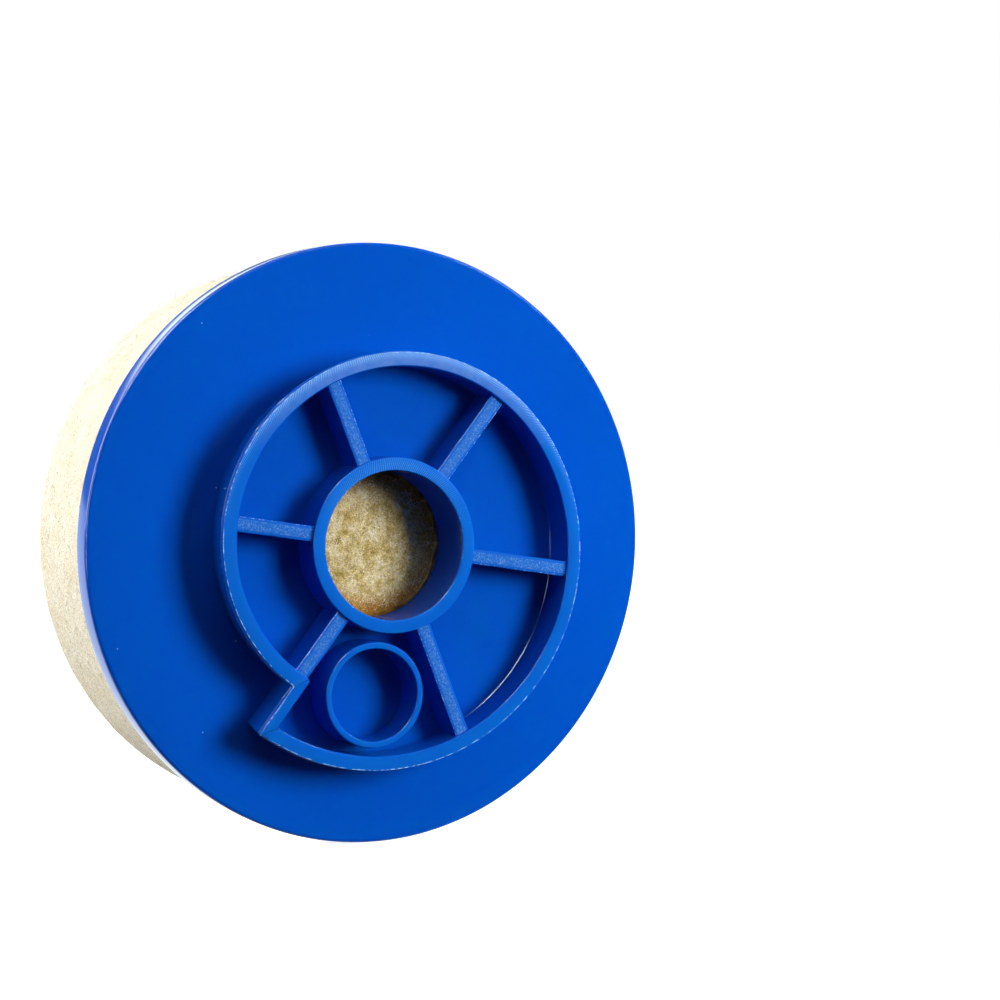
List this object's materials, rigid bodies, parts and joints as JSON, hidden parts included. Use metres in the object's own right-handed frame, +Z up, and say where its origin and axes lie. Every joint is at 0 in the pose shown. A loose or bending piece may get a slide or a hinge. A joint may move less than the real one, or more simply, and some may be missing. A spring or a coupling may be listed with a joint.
{
  "type": "felt polishing wheel",
  "caption": "Thick pressed-wool felt polishing wheel glued in the tray of a blue moulded backing plate with a raised spiral snail lock, pilot bore, ribs and a small round ring.",
  "frame": {"origin": "on the wheel's axis, in the plane of the backing plate's back face, inside the pilot bore", "axes": "+Y along the wheel's axis towards the felt's working face, -Y out of the pilot bore's mouth, +Z up with the wheel standing on its rim"},
  "size_m": [0.13, 0.0527, 0.13],
  "materials": {
    "blue_moulding": "glossy injection moulding",
    "adhesive": "cured amber contact adhesive",
    "wool_felt": "hard pressed wool, ground flat on the working face"
  },
  "bodies": {
    "root": {"backing": "blue_moulding", "adhesive_film": "adhesive", "adhesive_bead": "adhesive", "felt": "wool_felt"}
  },
  "joints": []
}
